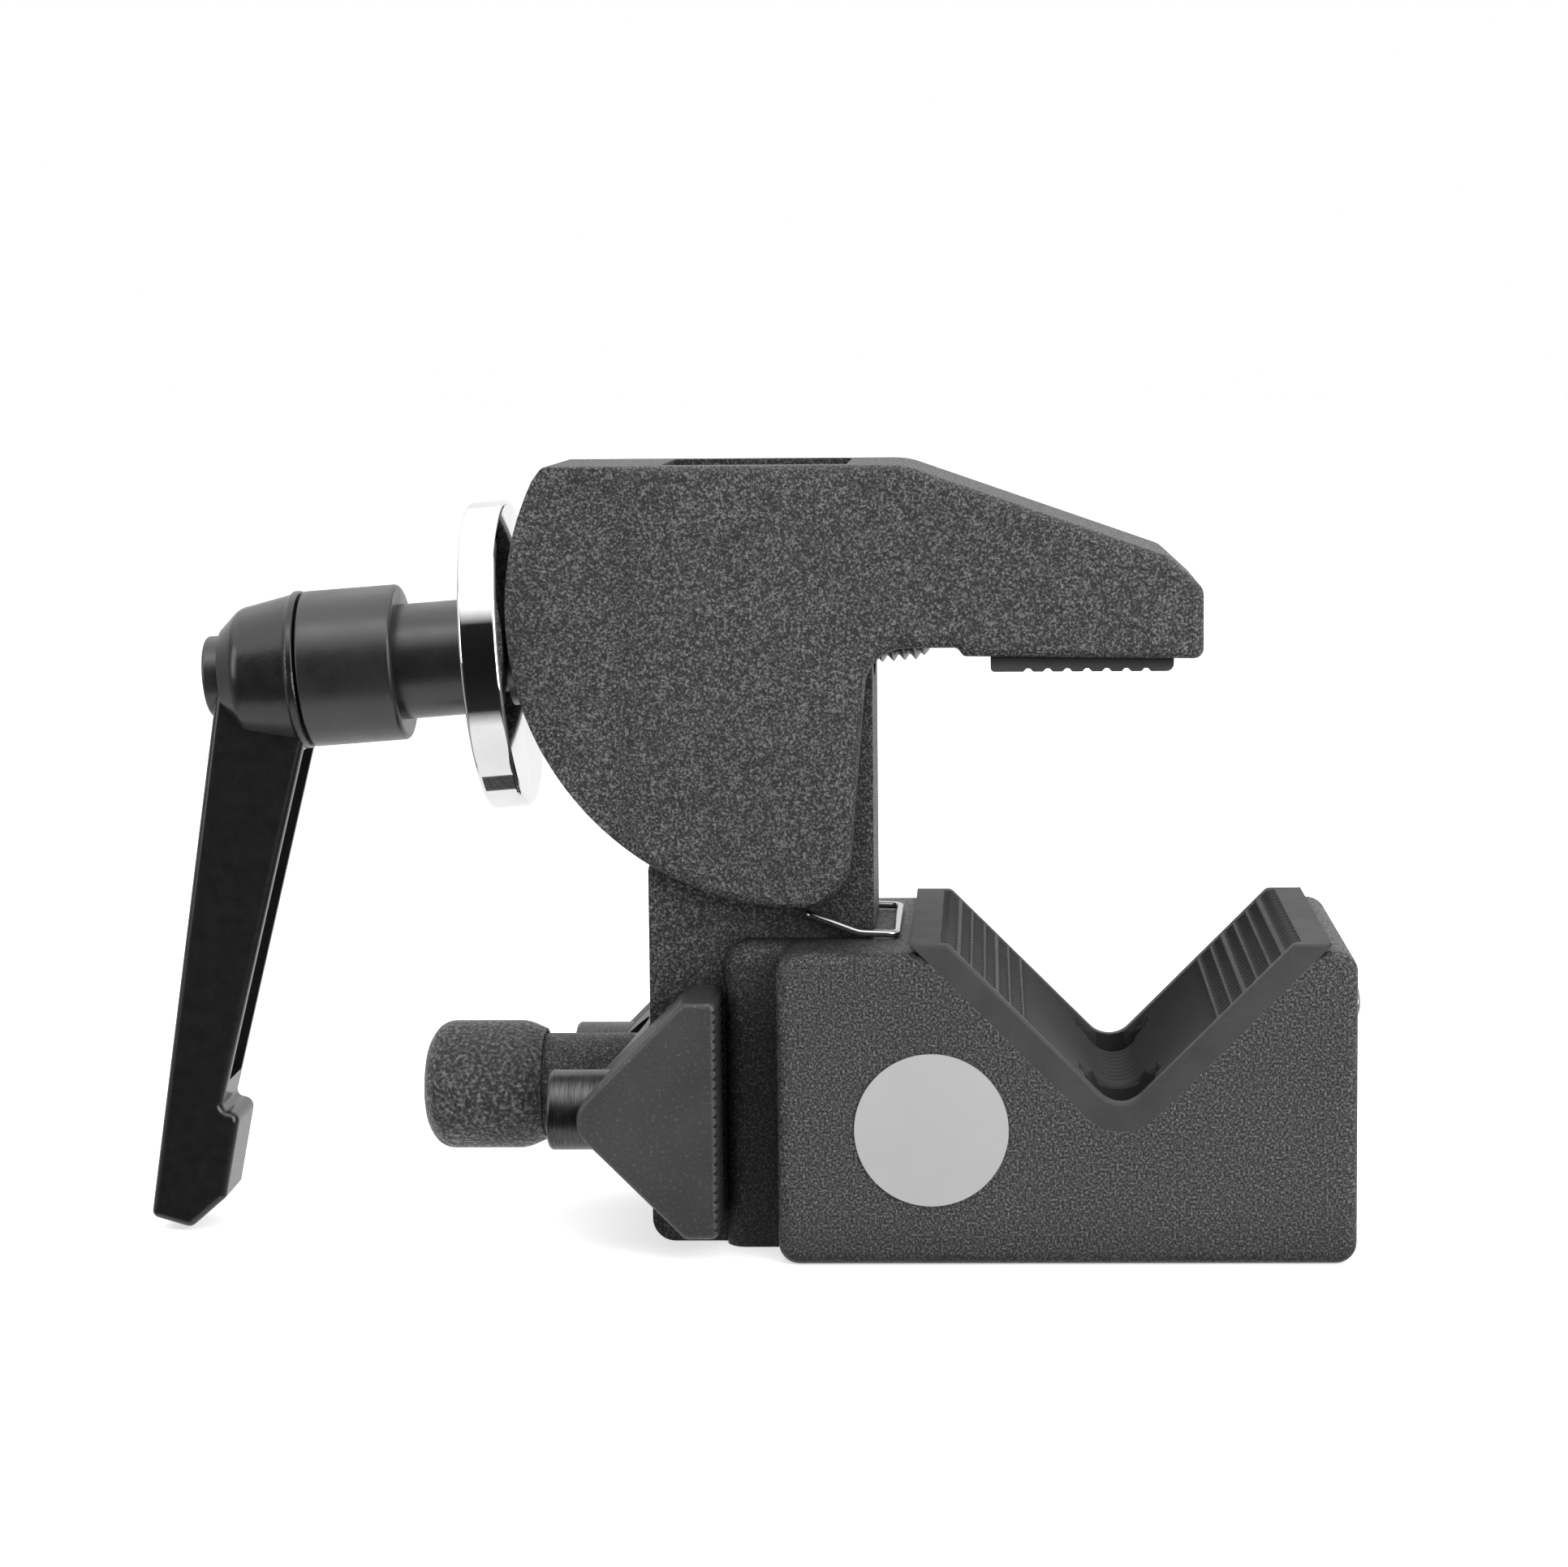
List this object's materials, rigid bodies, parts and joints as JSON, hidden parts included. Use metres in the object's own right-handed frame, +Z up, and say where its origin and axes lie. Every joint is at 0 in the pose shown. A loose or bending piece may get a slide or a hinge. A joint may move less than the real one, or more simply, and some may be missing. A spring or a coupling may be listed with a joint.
{
  "type": "super clamp",
  "caption": "Clamp with a V-shaped lower jaw, a swinging upper jaw driven by a lever-turned screw and thrust disc, a stud socket with lock knob, and a stored wedge.",
  "frame": {"origin": "centre of the mouth of the stud socket, in the underside of the column", "axes": "+X from the lever towards the open side of the jaws, +Z up from the underside to the upper jaw, +Y across the jaws"},
  "size_m": [0.1896, 0.0543, 0.1213],
  "materials": {
    "cast_coat": "wrinkle powder coat on cast aluminium",
    "grip_rubber": "ribbed moulded rubber",
    "label_film": "plain light grey film",
    "bright_steel": "bright drawn steel",
    "dark_steel": "oiled dark steel",
    "black_steel": "satin black oxide",
    "disc_chrome": "polished chrome",
    "bush_brass": "machined",
    "lever_coat": "smooth semi-gloss black",
    "knob_coat": "textured powder coat",
    "wedge_plastic": "satin moulded plastic",
    "peg_steel": "gunmetal, turned"
  },
  "bodies": {
    "base": {"base_casting": "cast_coat", "v_pad": "grip_rubber", "end_pins": "bright_steel", "round_label": "label_film", "pivot_pin": "dark_steel", "retaining_wire": "bright_steel", "thread_bush": "bush_brass"},
    "upper_jaw": {"upper_jaw": "cast_coat", "upper_jaw_pad": "grip_rubber"},
    "thrust": {"thrust_disc": "disc_chrome"},
    "screw": {"clamp_screw": "dark_steel", "screw_collar": "black_steel", "disc_clip": "dark_steel", "hub_sleeve": "black_steel", "lever_screw": "black_steel"},
    "lever": {"lever_arm": "lever_coat", "lever_spring": "bright_steel"},
    "lock_shoe": {"lock_tip": "bush_brass"},
    "lock_knob": {"lock_screw": "dark_steel", "lock_knob": "knob_coat"},
    "wedge": {"wedge_insert": "wedge_plastic", "wedge_pegs": "peg_steel"}
  },
  "joints": [
    {"name": "screw_feed", "type": "slide", "parent": "base", "child": "thrust", "axis": [0.9973, 0, 0.0732], "range_m": [0, 0.02362]},
    {"name": "screw_turn", "type": "hinge", "parent": "thrust", "child": "screw", "pos_m": [-0.0383, 0, 0.09147], "axis": [0.9973, 0, 0.0732], "range_deg": [0, 4860]},
    {"name": "jaw_swing", "type": "hinge", "parent": "base", "child": "upper_jaw", "pos_m": [0.0064, 0, 0.0608], "axis": [0, 1, 0], "range_deg": [0, 40.01]},
    {"name": "lever_lift", "type": "slide", "parent": "screw", "child": "lever", "axis": [-0.9973, 0, -0.0732], "range_m": [0, 0.0025], "stiffness_N_per_m": 1500, "springref_m": -0.002, "deforming": ["lever_spring"]},
    {"name": "lock_feed", "type": "slide", "parent": "base", "child": "lock_shoe", "axis": [1, 0, 0], "range_m": [0, 0.00104]},
    {"name": "lock_turn", "type": "hinge", "parent": "lock_shoe", "child": "lock_knob", "pos_m": [-0.05, 0, 0.0224], "axis": [1, 0, 0], "range_deg": [0, 300]},
    {"name": "wedge_off", "type": "slide", "parent": "base", "child": "wedge", "axis": [-1, 0, 0], "range_m": [0, 0.051]}
  ],
  "couplings": [
    {"joint": "screw_turn", "follows": "screw_feed", "rad_per_m": 3590.4},
    {"joint": "jaw_swing", "follows": "screw_feed", "rad_per_m": 29.551},
    {"joint": "lock_turn", "follows": "lock_feed", "rad_per_m": 5026.5}
  ]
}
